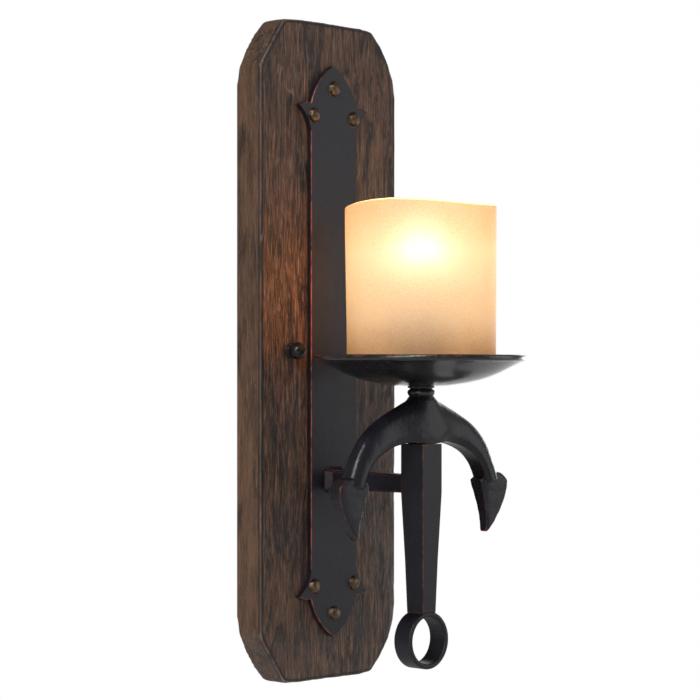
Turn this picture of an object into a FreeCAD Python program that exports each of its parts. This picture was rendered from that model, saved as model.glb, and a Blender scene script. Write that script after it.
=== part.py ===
import FreeCAD, Part
import os
import re
import Sketcher

# Wall lamp: a candle-style glass shade on a drip dish, carried by an inverted anchor on a wooden board.
# Millimetres. +X is along the wall, +Y goes into the wall, +Z is up.
# The origin is the middle of the board's back face, where the lamp touches the wall.

SIZES = {
    # backboard
    "board_width": 132,
    "board_height": 450,
    "board_thick": 23.3,
    "clip_wide": 22.5,
    "clip_tall": 33,
    "recess_radius": 56,
    "recess_deep": 12,
    "nut_bore_radius": 14,
    "wireway_wide": 14,
    "board_corner": 2.5,
    "board_edge": 1.2,
    # iron strap with spear ends
    "strap_width": 44,
    "strap_reach": 198.2,
    "strap_thick": 4,
    "strap_bevel": 0.5,
    "barb_reach": 33.3,
    "nail_side": 19.2,
    "nail_low": 162.1,
    "nail_high": 181.8,
    "nail_head": 5.3,
    "nail_dome": 3.4,
    "nail_shank": 1.4,
    "nail_long": 14,
    # arm
    "arm_high": -89.3,
    "arm_width": 12.4,
    "arm_bevel": 0.8,
    "collar_base": 18.6,
    "collar_top": 13.4,
    "collar_deep": 5,
    "pipe_radius": 4,
    "pipe_bore": 2.75,
    "pipe_grip": 20,
    # vertical stack: dish, neck, crown, shank and glass share one axis
    "stack_reach": 110,
    "shank_width": 18.4,
    "shank_deep": 20,
    "shank_top": -62.5,
    "shank_knee": -95,
    "shank_middle": -139.5,
    "ring_radius": 19.2,
    "ring_hole": 15.8,
    "ring_deep": 14.8,
    "ring_high": -193.5,
    "crown_deep": 15.6,
    "boss_radius": 11.2,
    "fluke_deep": 12,
    "fluke_tip": -124,
    "fluke_tip_deep": 6.5,
    "neck_top": -24.2,
    "neck_bottom": -30.7,
    "dish_radius": 71,
    "dish_rim": -2.9,
    "dish_wall": 2,
    # lampholder and its threaded tube
    "tube_radius": 5,
    "tube_bore": 3.5,
    "skirt_radius": 19.5,
    "shell_radius": 13.8,
    # glass shade and the ring that clamps it
    "shade_radius": 50,
    "shade_wall": 4,
    "shade_foot": -13.5,
    "shade_rim": 97.5,
    "shade_hole": 20.5,
    "clamp_radius": 26,
    "clamp_tall": 8,
    # lamp bulb
    "bulb_radius": 17.5,
    "bulb_top": 93,
    "bulb_wall": 0.9,
    "base_radius": 12.9,
    "filament_space": 6,
    # wall plate and its screws
    "stud_space": 76.2,
    "stud_radius": 2.05,
    "plate_radius": 52,
    "plate_thick": 1.6,
    "plate_stand": 5,
    "slot_space": 79.5,
    "slot_long": 14.3,
    "slot_radius": 2.4,
    "ball_radius": 6,
    "slack": 0.05,
}

doc = FreeCAD.newDocument("wall_sconce")
sheet = doc.addObject("Spreadsheet::Sheet", "dims")
for row, (alias, size) in enumerate(SIZES.items(), start=1):
    sheet.set(f"A{row}", alias)
    sheet.set(f"B{row}", str(size))
    sheet.setAlias(f"B{row}", alias)
doc.recompute()

nodes = []


def bound(size):
    """Turn a size such as 'board_width / 2' into an expression that reads the sheet."""
    return re.sub(r"[a-z][a-z_]*", lambda word: "dims." + word.group(), str(size))


def measure(size):
    return float(sheet.evalExpression(bound(size)))


def negative(size):
    return f"-({size})"


def place(part, x="0", y="0", z="0"):
    part.setExpression("Placement.Base.x", bound(x))
    part.setExpression("Placement.Base.y", bound(y))
    part.setExpression("Placement.Base.z", bound(z))


def new_body(name, x="0", y="0", z="0", node=True):
    body = doc.addObject("PartDesign::Body", name)
    body.Label = name
    place(body, x, y, z)
    if node:
        nodes.append(body)
    return body


def new_sketch(body, role, shift="0"):
    """Sketch on one of the body's own origin planes, moved along that plane's normal by shift."""
    plane = next(feature for feature in body.Origin.OriginFeatures if feature.Role == role)
    sketch = body.newObject("Sketcher::SketchObject", f"{body.Name}_sketch")
    sketch.AttachmentSupport = [(plane, "")]
    sketch.MapMode = "FlatFace"
    sketch.setExpression("AttachmentOffset.Base.z", bound(shift))
    return sketch


def pin(sketch, edge, end, across, up):
    """Hold one point of an edge at a place measured from the sketch's origin."""
    for kind, axis, size in (("DistanceX", -2, across), ("DistanceY", -1, up)):
        if abs(measure(size)) < 1e-9:
            sketch.addConstraint(Sketcher.Constraint("PointOnObject", edge, end, axis))
        else:
            number = sketch.addConstraint(Sketcher.Constraint(kind, -1, 1, edge, end, measure(size)))
            sketch.setExpression(f"Constraints[{number}]", bound(size))


def draw(sketch, corners):
    """Closed outline. A corner is (x, y) after a straight line, or (x, y, via_x, via_y) after an arc."""
    ends = [FreeCAD.Vector(measure(corner[0]), measure(corner[1]), 0) for corner in corners]
    joints = []
    for index, corner in enumerate(corners):
        start, end = ends[index - 1], ends[index]
        first, last = 1, 2
        if len(corner) == 4:
            via = FreeCAD.Vector(measure(corner[2]), measure(corner[3]), 0)
            if (via - start).cross(end - via).z < 0:
                start, end = end, start
                first, last = 2, 1
            edge = sketch.addGeometry(Part.Arc(start, via, end), False)
            radius = sketch.Geometry[edge].Radius
            if 2 * radius - (end - start).Length < 1e-6:
                bend = Sketcher.Constraint("Symmetric", edge, 1, edge, 2, edge, 3)
            else:
                bend = Sketcher.Constraint("Radius", edge, radius)
            sketch.addConstraint(bend)
        else:
            edge = sketch.addGeometry(Part.LineSegment(start, end), False)
        pin(sketch, edge, last, corner[0], corner[1])
        joints.append((edge, first, last))
    for index, (edge, first, _) in enumerate(joints):
        before, _, last = joints[index - 1]
        sketch.addConstraint(Sketcher.Constraint("Coincident", before, last, edge, first))


def flipped(corners, signs):
    """Mirror corners: signs is (-1, 1) across the upright axis and (1, -1) across the level one."""
    return [tuple(f"{sign} * ({size})" for sign, size in zip(signs * 2, corner)) for corner in corners]


def backwards(corners):
    """The same path walked the other way, so that each arc's middle moves to its other end."""
    points = [corner[:2] for corner in corners]
    middles = [corner[2:] for corner in corners]
    return [points[-1]] + [point + middle for point, middle in zip(points[-2::-1], middles[:0:-1])]


def two_ways(half):
    """Closed outline from its right half, mirrored to the left."""
    return half + backwards(flipped(half, (-1, 1)))


def four_ways(quarter):
    """Closed outline from its upper right quarter, which may end on the upright axis."""
    seam = 1 if abs(measure(quarter[-1][0])) < 1e-9 else 0
    upper_left = backwards(flipped(quarter, (-1, 1)))[seam:]
    lower_left = flipped(quarter, (-1, -1))
    lower_right = backwards(flipped(quarter, (1, -1)))[seam:]
    return quarter + upper_left + lower_left + lower_right


def circle(sketch, across, up, radius):
    centre = FreeCAD.Vector(measure(across), measure(up), 0)
    edge = sketch.addGeometry(Part.Circle(centre, FreeCAD.Vector(0, 0, 1), measure(radius)), False)
    pin(sketch, edge, 3, across, up)
    number = sketch.addConstraint(Sketcher.Constraint("Radius", edge, measure(radius)))
    sketch.setExpression(f"Constraints[{number}]", bound(radius))


def rectangle(sketch, left, right, low, high):
    draw(sketch, [(left, low), (right, low), (right, high), (left, high)])


def hexagon(sketch, flats):
    """Hexagon about the sketch's origin, given half its width across flats."""
    side = f"{flats} * 0.57735"
    draw(sketch, four_ways([(flats, side), ("0", f"2 * {side}")]))


def pad(body, sketch, length, symmetric=False, reverse=False):
    feature = body.newObject("PartDesign::Pad", f"{body.Name}_pad")
    feature.Profile = sketch
    feature.setExpression("Length", bound(length))
    feature.SideType = "Symmetric" if symmetric else "One side"
    feature.Reversed = reverse
    doc.recompute()


def pocket(body, sketch, length=None, symmetric=False, reverse=False):
    """Cut the sketch out of the body, right through if no length is given."""
    before = body.Shape.Volume
    feature = body.newObject("PartDesign::Pocket", f"{body.Name}_pocket")
    feature.Profile = sketch
    feature.Type = "Length" if length else "ThroughAll"
    if length:
        feature.setExpression("Length", bound(length))
    feature.SideType = "Symmetric" if symmetric else "One side"
    feature.Reversed = reverse
    doc.recompute()
    if body.Shape.Volume > before - 1:
        raise ValueError(f"a pocket in {body.Label} cut nothing")


def turn(body, corners, role="XZ_Plane"):
    """Turn an outline about the sketch's upright axis: +Z on XZ_Plane, +Y on XY_Plane."""
    sketch = new_sketch(body, role)
    draw(sketch, corners)
    feature = body.newObject("PartDesign::Revolution", f"{body.Name}_turned")
    feature.Profile = sketch
    feature.ReferenceAxis = (sketch, ["V_Axis"])
    feature.Angle = 360
    doc.recompute()


def soften(body, radius, wanted, kind="Fillet"):
    """Round or chamfer the edges of the body's last feature for which wanted(edge) is true."""
    base = body.Tip
    names = [f"Edge{number}" for number, edge in enumerate(base.Shape.Edges, start=1) if wanted(edge)]
    feature = body.newObject(f"PartDesign::{kind}", f"{body.Name}_{kind.lower()}")
    feature.Base = (base, names)
    if kind == "Fillet":
        feature.setExpression("Radius", bound(radius))
    else:
        feature.setExpression("Size", bound(radius))
    doc.recompute()


def lies_at(edge, axis, size):
    """True if the whole edge lies on the plane where the axis (0 x, 1 y, 2 z) has this value."""
    box = edge.BoundBox
    low = (box.XMin, box.YMin, box.ZMin)[axis]
    high = (box.XMax, box.YMax, box.ZMax)[axis]
    return abs(low - measure(size)) < 0.01 and abs(high - measure(size)) < 0.01


def group(name, master, spots):
    """One node of identical separate solids: a copy of the master at each spot."""
    copies = []
    for number, spot in enumerate(spots, start=1):
        copy = doc.addObject("App::Link", f"{name}_{number}")
        copy.LinkedObject = master
        place(copy, *spot)
        copies.append(copy)
    compound = doc.addObject("Part::Compound", name)
    compound.Label = name
    compound.Links = copies
    nodes.append(compound)


board_front = "-board_thick"
strap_front = "-board_thick - strap_thick"
collar_front = "-board_thick - strap_thick - collar_deep"
shank_back = "-stack_reach + shank_deep / 2"
stack = "-stack_reach"
nail_spots = [(across, "0", up) for across, up in (
    ("0", "nail_high"), ("nail_side", "nail_low"), ("-nail_side", "nail_low"),
    ("0", "-nail_high"), ("nail_side", "-nail_low"), ("-nail_side", "-nail_low"))]
stud_spots = [("stud_space / 2", "0", "0"), ("-stud_space / 2", "0", "0")]


def make_backboard():
    body = new_body("backboard")
    outline = new_sketch(body, "XZ_Plane")
    draw(outline, four_ways([("board_width / 2", "board_height / 2 - clip_tall"),
                             ("board_width / 2 - clip_wide", "board_height / 2")]))
    pad(body, outline, "board_thick")
    soften(body, "board_corner", runs_through)
    soften(body, "board_edge", lambda edge: lies_at(edge, 1, board_front))
    recess = new_sketch(body, "XZ_Plane")
    circle(recess, "0", "0", "recess_radius")
    pocket(body, recess, "recess_deep", reverse=True)
    nut_bore = new_sketch(body, "XZ_Plane")
    circle(nut_bore, "0", "arm_high", "nut_bore_radius")
    pocket(body, nut_bore, "recess_deep", reverse=True)
    wireway = new_sketch(body, "XZ_Plane")
    rectangle(wireway, "-wireway_wide / 2", "wireway_wide / 2", "arm_high", "-recess_radius / 2")
    pocket(body, wireway, "recess_deep", reverse=True)
    holes = new_sketch(body, "XZ_Plane")
    circle(holes, "0", "arm_high", "pipe_radius + slack")
    for x, _, z in stud_spots:
        circle(holes, x, z, "stud_radius + 0.6")
    pocket(body, holes, reverse=True)
    pilots = new_sketch(body, "XZ_Plane", shift="board_thick")
    for x, _, z in nail_spots:
        circle(pilots, x, z, "nail_shank + slack")
    pocket(body, pilots, "nail_long - strap_thick + 0.5")


def runs_through(edge):
    """True for an edge that runs straight from the board's back to its front."""
    return lies_at(edge, 0, edge.BoundBox.XMin) and lies_at(edge, 2, edge.BoundBox.ZMin)


def make_strap():
    """Flat iron bar with a barbed spear point at each end."""
    body = new_body("strap", y=board_front)
    outline = new_sketch(body, "XZ_Plane")
    side, tip = "strap_width / 2", "strap_reach"
    barb = [(side, f"{tip} - 46"), ("barb_reach", f"{tip} - 29.6", f"{side} + 3.8", f"{tip} - 37.2")]
    notch = [(f"{side} + 4", f"{tip} - 27"), (side, f"{tip} - 27.6")]
    point = [("0", tip, f"{side} - 7.2", f"{tip} - 12.9")]
    draw(outline, four_ways(barb + notch + point))
    pad(body, outline, "strap_thick")
    soften(body, "strap_bevel", lambda edge: lies_at(edge, 1, "-strap_thick") and not hollow(edge),
           "Chamfer")
    holes = new_sketch(body, "XZ_Plane")
    circle(holes, "0", "arm_high", "pipe_radius + slack")
    for x, _, z in nail_spots:
        circle(holes, x, z, "nail_shank + slack")
    pocket(body, holes, reverse=True)


def hollow(edge):
    """True for the hollow curve under each barb, which stays sharp."""
    return edge.Curve.TypeId == "Part::GeomCircle" and edge.Length < 30


def make_nails():
    """Domed nail: its seat is the strap's front face."""
    nail = new_body("nail", node=False)
    turn(nail, [("nail_shank", "0"), ("nail_shank", "nail_long - 3"), ("0", "nail_long"),
                ("0", "-nail_dome"), ("nail_head", "0", "nail_head * 0.72", "-nail_dome * 0.68")],
         "XY_Plane")
    group("strap_nails", nail, [(x, strap_front, z) for x, _, z in nail_spots])


def make_arm():
    collar = new_body("arm_collar", y=strap_front, z="arm_high")
    base = new_sketch(collar, "XZ_Plane")
    clipped_square(base, "collar_base / 2", "3.2")
    top = new_sketch(collar, "XZ_Plane", shift="collar_deep")
    clipped_square(top, "collar_top / 2", "1.2")
    loft = collar.newObject("PartDesign::AdditiveLoft", "arm_collar_loft")
    loft.Profile = base
    loft.Sections = [top]
    loft.Ruled = True
    doc.recompute()
    bore = new_sketch(collar, "XZ_Plane")
    circle(bore, "0", "0", "pipe_radius + slack")
    pocket(collar, bore, reverse=True)

    bar = new_body("arm_bar", y=collar_front, z="arm_high")
    section = new_sketch(bar, "XZ_Plane")
    half = "arm_width / 2"
    rectangle(section, negative(half), half, negative(half), half)
    pad(bar, section, "stack_reach - shank_deep / 2 - board_thick - strap_thick - collar_deep")
    soften(bar, "arm_bevel", lambda edge: edge.BoundBox.YLength > measure("pipe_grip"), "Chamfer")
    wire_bore = new_sketch(bar, "XZ_Plane")
    circle(wire_bore, "0", "0", "pipe_bore")
    pocket(bar, wire_bore, reverse=True)
    socket = new_sketch(bar, "XZ_Plane")
    circle(socket, "0", "0", "pipe_radius + slack")
    pocket(bar, socket, "pipe_grip + 1", reverse=True)

    pipe = new_body("arm_pipe", z="arm_high")
    wall = new_sketch(pipe, "XZ_Plane", shift="recess_deep - 5.5")
    circle(wall, "0", "0", "pipe_radius")
    circle(wall, "0", "0", "pipe_bore")
    pad(pipe, wall, "board_thick + strap_thick + collar_deep + pipe_grip - recess_deep + 5.5")

    washer = new_body("arm_washer", y="-recess_deep", z="arm_high")
    ring = new_sketch(washer, "XZ_Plane")
    circle(ring, "0", "0", "10.5")
    circle(ring, "0", "0", "pipe_radius + 0.3")
    pad(washer, ring, "1.2", reverse=True)

    nut = new_body("arm_nut", y="-recess_deep + 1.2", z="arm_high")
    flats = new_sketch(nut, "XZ_Plane")
    hexagon(flats, "6.5")
    circle(flats, "0", "0", "pipe_radius + slack")
    pad(nut, flats, "3", reverse=True)


def clipped_square(sketch, half, clip):
    inner = f"{half} - {clip}"
    draw(sketch, four_ways([(half, inner), (inner, half)]))


def make_ring():
    """Ring eye brazed to the shank's lower end."""
    body = new_body("ring_eye", y=stack, z="ring_high")
    eye = new_sketch(body, "XZ_Plane")
    circle(eye, "0", "0", "ring_radius")
    circle(eye, "0", "0", "ring_hole")
    pad(body, eye, "ring_deep", symmetric=True)
    soften(body, "1.2", lambda edge: edge.Curve.TypeId == "Part::GeomCircle")


def make_shank():
    """Tapered square bar with a saddle for the ring, hollow at the top for the wires."""
    body = new_body("anchor_shank", y=stack)
    foot = "ring_high + ring_radius - 1"
    front = new_sketch(body, "XZ_Plane")
    draw(front, two_ways([("shank_width / 2", "shank_top"), ("shank_width / 2", "shank_knee"),
                          ("7.2", "shank_middle"), ("6.1", foot)]))
    pad(body, front, "shank_deep", symmetric=True)
    taper = [("shank_deep / 2", "shank_knee"), ("8.3", "shank_middle"), ("7.2", f"{foot} - 2"),
             ("shank_deep", f"{foot} - 2"), ("shank_deep", "shank_knee")]
    for side in (1, -1):
        wedge = new_sketch(body, "YZ_Plane")
        draw(wedge, flipped(taper, (side, 1)))
        pocket(body, wedge, symmetric=True)
    saddle = new_sketch(body, "XZ_Plane")
    circle(saddle, "0", "ring_high", "ring_radius")
    pocket(body, saddle, symmetric=True)
    thread = new_sketch(body, "XY_Plane", shift="shank_top")
    circle(thread, "0", "0", "tube_radius + slack")
    pocket(body, thread, "14")
    drop = new_sketch(body, "XY_Plane", shift="shank_top")
    circle(drop, "0", "0", "tube_bore")
    pocket(body, drop, "shank_top - arm_high + tube_radius")
    side_way = new_sketch(body, "XZ_Plane")
    circle(side_way, "0", "arm_high", "pipe_bore")
    pocket(body, side_way)


def make_crown():
    """Arms of the anchor, turned down, with an arrow-shaped fluke at each end."""
    body = new_body("anchor_crown", y=stack)
    arch = new_sketch(body, "XZ_Plane")
    outer = [("8.4", "neck_bottom"), ("30", "-41.4"), ("71.6", "-84", "56", "-58")]
    inner = [("60", "-88"), ("9", "-59.3", "38", "-66.2")]
    draw(arch, two_ways(outer + inner))
    pad(body, arch, "crown_deep", symmetric=True)
    rounded = "crown_deep * 0.36"
    soften(body, rounded, lambda edge: abs(edge.BoundBox.YLength) < 0.01 and on_outside(edge))
    turned = new_sketch(body, "XZ_Plane")
    draw(turned, [("0", "neck_bottom"), ("8.6", "neck_bottom"), ("9.6", "-37"),
                  ("boss_radius", "-48", "10.6", "-42"), ("boss_radius", "shank_top"), ("0", "shank_top")])
    boss = body.newObject("PartDesign::Revolution", "anchor_crown_boss")
    boss.Profile = turned
    boss.ReferenceAxis = (turned, ["V_Axis"])
    boss.Angle = 360
    doc.recompute()
    fluke = [("54.5", "-88"), ("60", "-85"), ("72.4", "-83.1"), ("75.4", "-83.8"), ("82", "-89"),
             ("80.5", "-101"), ("74", "-112.5"), ("62.5", "fluke_tip"), ("61.5", "-112"),
             ("59.4", "-103")]
    for side in (1, -1):
        arrow = new_sketch(body, "XZ_Plane")
        draw(arrow, flipped(fluke, (side, 1)))
        pad(body, arrow, "fluke_deep", symmetric=True)
    taper = [("20", "-88"), ("20", "fluke_tip - 6"), ("fluke_tip_deep / 2 - 0.15", "fluke_tip - 6"),
             ("fluke_tip_deep / 2", "fluke_tip"), ("fluke_deep / 2", "-92"), ("crown_deep / 2", "-88")]
    for side in (1, -1):
        wedge = new_sketch(body, "YZ_Plane")
        draw(wedge, flipped(taper, (side, 1)))
        pocket(body, wedge, symmetric=True)
    bore = new_sketch(body, "XY_Plane", shift="neck_bottom")
    circle(bore, "0", "0", "tube_radius + slack")
    pocket(body, bore)


def on_outside(edge):
    """True for the arch's outer outline: the two shoulders and the two long curves."""
    middle = edge.valueAt((edge.FirstParameter + edge.LastParameter) / 2)
    return middle.z > -59 - 0.02 * abs(middle.x) and edge.BoundBox.XLength > 15 or (
        abs(middle.x) > 50 and middle.z > -70)


def make_neck():
    body = new_body("neck_bead", y=stack)
    turn(body, [("tube_radius + slack", "neck_bottom"), ("8.6", "neck_bottom"),
                ("8.3", "neck_top - 2.2", "9.3", "neck_top - 3.9"), ("9.2", "neck_top - 1.2"),
                ("9.2", "neck_top"), ("tube_radius + slack", "neck_top")])


def make_dish():
    """Shallow bowl with a thick rolled rim and a bored floor."""
    body = new_body("drip_dish", y=stack)
    floor = "neck_top + dish_wall"
    turn(body, [("tube_radius + 0.2", "neck_top"), ("9", "neck_top"),
                ("dish_radius - 3.3", "dish_rim - 4.8", "37.1", "-20.4"),
                ("dish_radius", "dish_rim - 2.2", "dish_radius - 0.7", "dish_rim - 3.9"),
                ("dish_radius - 2.1", "dish_rim", "dish_radius - 0.6", "dish_rim - 0.6"),
                ("dish_radius - 4.2", "dish_rim - 2"),
                ("9", floor, "37.1", "-20.4 + dish_wall * 1.05"),
                ("tube_radius + 0.2", floor)])
    nut = new_body("dish_nut", y=stack, z=floor)
    flats = new_sketch(nut, "XY_Plane")
    hexagon(flats, "8")
    circle(flats, "0", "0", "tube_radius + slack")
    pad(nut, flats, "3.5")


def make_lampholder():
    tube = new_body("centre_tube", y=stack, z="shank_top - 12")
    wall = new_sketch(tube, "XY_Plane")
    circle(wall, "0", "0", "tube_radius")
    circle(wall, "0", "0", "tube_bore")
    pad(tube, wall, "65")

    cap = new_body("socket_cap", y=stack)
    turn(cap, [("tube_radius + slack", "-18.5"), ("15", "-18.5"), ("17", "-16.5", "16.4", "-17.9"),
               ("17", "-4"), ("15.8", "-4"), ("15.8", "-16.5"), ("8", "-16.5"), ("8", "-12.5"),
               ("tube_radius + slack", "-12.5")])

    core = new_body("socket_core", y=stack)
    turn(core, [("9", "-15.5"), ("15.6", "-15.5"), ("15.6", "-3"), ("17.5", "-3"), ("17.5", "23"),
                ("shell_radius + 0.3", "23"), ("shell_radius + 0.3", "-1.5"), ("0", "-1.5"), ("0", "-6"),
                ("9", "-6")])

    shell = new_body("socket_shell", y=stack)
    turn(shell, [("8", "-1.5"), ("shell_radius", "-1.5"), ("shell_radius", "22"),
                 ("shell_radius - 0.4", "22"), ("shell_radius - 0.4", "-1"), ("8", "-1")])

    contact = new_body("socket_contact", y=stack)
    turn(contact, [("0", "-1.5"), ("4.5", "-1.5"), ("4.5", "-1"), ("2.6", "0.4", "3.8", "-0.1"),
                   ("0", "0.4")])

    skirt = new_body("socket_skirt", y=stack)
    turn(skirt, [("17.3", "shade_foot - 2"), ("23", "shade_foot - 2"), ("23", "shade_foot"),
                 ("skirt_radius", "shade_foot"), ("skirt_radius", "23.5"),
                 ("skirt_radius - 0.6", "24.1"), ("16.5", "24.1"), ("16.5", "23.1"), ("17.8", "23.1"),
                 ("17.8", "shade_foot + 1"), ("17.3", "shade_foot + 1")])


def make_glass():
    shade = new_body("glass_shade", y=stack)
    inner = "shade_radius - shade_wall"
    floor = "shade_foot + shade_wall"
    turn(shade, [("shade_hole", "shade_foot"), ("shade_radius - 3.3", "shade_foot"),
                 ("shade_radius - 0.3", "shade_foot + 3", "shade_radius - 1.2", "shade_foot + 0.9"),
                 ("shade_radius + 0.3", "shade_rim - 1.6"),
                 (f"{inner} + 0.8", "shade_rim - 1.6", f"{inner} + shade_wall / 2", "shade_rim"),
                 (inner, f"{floor} + 4"), (f"{inner} - 4", floor, f"{inner} - 1.2", f"{floor} + 1.2"),
                 ("shade_hole", floor)])
    clamp = new_body("shade_ring", y=stack)
    top = f"{floor} + clamp_tall"
    turn(clamp, [("skirt_radius + 0.1", floor), ("clamp_radius", floor),
                 ("clamp_radius", f"{floor} + 2"), ("clamp_radius - 3.4", f"{floor} + 2.6"),
                 ("clamp_radius - 3.4", f"{top} - 0.6"), ("clamp_radius - 4", top),
                 ("skirt_radius + 0.1", top)])


def make_bulb():
    """Candle-shaped bulb: glass envelope, screw base, its insulator, tip contact, stem and filament."""
    envelope = new_body("bulb_glass", y=stack)
    turn(envelope, [("base_radius - 0.9", "14"), ("base_radius - 0.9", "25"),
                    ("bulb_radius", "50", "bulb_radius - 2.2", "36.5"),
                    ("3", "bulb_top - 2.2", "11.3", "76"), ("0", "bulb_top"),
                    ("0", "bulb_top - bulb_wall - 1"), ("3 - bulb_wall", "bulb_top - 2.2 - bulb_wall"),
                    ("bulb_radius - bulb_wall", "50", "11.3 - bulb_wall", "75.6"),
                    ("base_radius - 0.9 - bulb_wall", "25", "bulb_radius - 2.2 - bulb_wall", "36.5"),
                    ("base_radius - 0.9 - bulb_wall", "14")])
    base = new_body("bulb_base", y=stack)
    turn(base, [("9", "3.6"), ("base_radius", "5.4"), ("base_radius", "24"),
                ("base_radius - 0.7", "24.6"), ("base_radius - 0.7", "5.8"), ("9", "4.2")])
    insulator = new_body("bulb_insulator", y=stack)
    turn(insulator, [("5", "0.9"), ("9", "3.5"), ("9", "4.4"), ("5", "4.4")])
    tip = new_body("bulb_contact", y=stack)
    turn(tip, [("0", "0.5"), ("3.6", "0.5"), ("4.8", "0.9", "4.4", "0.6"), ("4.8", "2"), ("0", "2")])
    stem = new_body("bulb_stem", y=stack)
    turn(stem, [("0", "14"), ("base_radius - 1.8", "14"), ("base_radius - 1.8", "16"),
                ("4.2", "24", "5.6", "18.6"), ("3", "40"), ("1.4", "46"), ("1.4", "48"), ("7", "48"),
                ("7", "49"), ("1.4", "49"), ("1.4", "79"), ("7", "79"), ("7", "79.8"), ("0", "79.8")])
    filament = new_body("filament", node=False)
    turn(filament, [("0", "0"), ("0.9", "0"), ("0.9", "30"), ("0", "30")])
    group("bulb_filaments", filament, [
        ("filament_space", stack, "49"), ("-filament_space", stack, "49"),
        ("0", f"{stack} + filament_space", "49"), ("0", f"{stack} - filament_space", "49")])


def make_wall_hardware():
    plate = new_body("wall_plate")
    front = "plate_stand + plate_thick"
    turn(plate, [("0", "-plate_stand"), ("plate_radius - plate_thick", "-plate_stand"),
                 ("plate_radius - plate_thick", "0"), ("plate_radius", "0"),
                 ("plate_radius", negative(front)), ("0", negative(front))], "XY_Plane")
    holes = new_sketch(plate, "XZ_Plane")
    circle(holes, "0", "0", "11")
    for x, _, z in stud_spots:
        circle(holes, x, z, "stud_radius + slack")
    circle(holes, "24", "-24", "2.4 + slack")
    for side in (1, -1):
        middle = f"{side} * slot_space / 2"
        run = "(slot_long / 2 - slot_radius)"
        draw(holes, [("slot_radius", f"{middle} + {run}"),
                     ("-slot_radius", f"{middle} + {run}", "0", f"{middle} + slot_long / 2"),
                     ("-slot_radius", f"{middle} - {run}"),
                     ("slot_radius", f"{middle} - {run}", "0", f"{middle} - slot_long / 2")])
    pocket(plate, holes, reverse=True)

    stud = new_body("stud", node=False)
    rod = new_sketch(stud, "XZ_Plane")
    circle(rod, "0", "0", "stud_radius")
    pad(stud, rod, "board_thick + 8 - 1")
    soften(stud, "0.5", lambda edge: edge.Curve.TypeId == "Part::GeomCircle", "Chamfer")
    group("mounting_studs", stud, [(x, "-1", z) for x, _, z in stud_spots])

    lock = new_body("lock_nut", node=False)
    flats = new_sketch(lock, "XZ_Plane")
    hexagon(flats, "4.35")
    circle(flats, "0", "0", "stud_radius + slack")
    pad(lock, flats, "3.2")
    group("stud_nuts", lock, [(x, negative(front), z) for x, _, z in stud_spots])

    ground = new_body("ground_screw", x="24", y=negative(front), z="-24")
    head = new_sketch(ground, "XZ_Plane")
    hexagon(head, "4")
    pad(ground, head, "2.8")
    shank = new_sketch(ground, "XZ_Plane")
    circle(shank, "0", "0", "2.4")
    pad(ground, shank, f"{front} - 1", reverse=True)

    for name, x in (("cap_nut_left", "-stud_space / 2"), ("cap_nut_right", "stud_space / 2")):
        nut = new_body(name, x=x, y=board_front)
        ball = "-ball_radius - 0.8"
        turn(nut, [("stud_radius + slack", "0"), ("4.6", "0"), ("4.6", "-1.4"), ("3.9", "-2.2"),
                   ("0", f"{ball} - ball_radius", "ball_radius", ball),
                   ("0", "-8.6"), ("stud_radius + slack", "-8.2")], "XY_Plane")


def check_and_save():
    doc.recompute()
    for item in doc.Objects:
        if "Invalid" in item.State or "Error" in item.State:
            raise ValueError(f"{item.Label} failed: {item.State}")
    os.makedirs("parts", exist_ok=True)
    for node in nodes:
        if node.Shape.isNull() or not node.Shape.isValid():
            raise ValueError(f"{node.Label} has no valid shape")
        node.Shape.exportStep(f"parts/{node.Label}.step")
        box = node.Shape.BoundBox
        print(f"{node.Label}: {len(node.Shape.Solids)} solid, {node.Shape.Volume:.0f} mm3, "
              f"x {box.XMin:.1f} {box.XMax:.1f}, y {box.YMin:.1f} {box.YMax:.1f}, "
              f"z {box.ZMin:.1f} {box.ZMax:.1f}")


make_backboard()
make_strap()
make_nails()
make_arm()
make_ring()
make_shank()
make_crown()
make_neck()
make_dish()
make_lampholder()
make_glass()
make_bulb()
make_wall_hardware()
check_and_save()
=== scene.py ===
import math

import bmesh
import bpy
import numpy as np
from mathutils import Matrix, Vector, noise


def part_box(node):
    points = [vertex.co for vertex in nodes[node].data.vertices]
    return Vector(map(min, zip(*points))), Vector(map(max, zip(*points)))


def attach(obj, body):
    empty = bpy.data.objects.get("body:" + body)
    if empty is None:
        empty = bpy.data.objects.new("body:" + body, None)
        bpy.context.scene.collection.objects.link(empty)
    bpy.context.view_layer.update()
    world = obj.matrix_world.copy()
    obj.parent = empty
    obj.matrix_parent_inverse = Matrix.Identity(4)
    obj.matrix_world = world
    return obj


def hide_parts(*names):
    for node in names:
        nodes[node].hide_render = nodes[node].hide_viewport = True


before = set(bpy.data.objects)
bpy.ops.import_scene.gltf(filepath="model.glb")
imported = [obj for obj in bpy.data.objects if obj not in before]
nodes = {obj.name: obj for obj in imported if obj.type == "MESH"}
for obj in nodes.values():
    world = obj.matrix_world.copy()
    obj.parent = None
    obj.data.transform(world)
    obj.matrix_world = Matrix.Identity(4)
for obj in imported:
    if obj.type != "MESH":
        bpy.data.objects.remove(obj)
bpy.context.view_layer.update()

# Metres. +X along the wall, +Y into the wall, +Z up, origin at the middle of the board's back face.
MM = 0.001


# ---------------------------------------------------------------- helpers for places

def box_mm(node):
    """Lowest and highest corner of a CAD node in millimetres."""
    low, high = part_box(node)
    return low / MM, high / MM


board_low, board_high = box_mm("backboard")
shade_low, shade_high = box_mm("glass_shade")
bulb_low, bulb_high = box_mm("bulb_glass")
dish_low, dish_high = box_mm("drip_dish")
AXIS_Y = (dish_low.y + dish_high.y) / 2  # the upright axis of dish, glass, bulb and crown
STRAP_FRONT = box_mm("strap")[0].y


def smooth_step(low, high, value):
    share = min(max((value - low) / (high - low), 0), 1)
    return share * share * (3 - 2 * share)


def mix(first, second, share):
    return first + (second - first) * share


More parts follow.
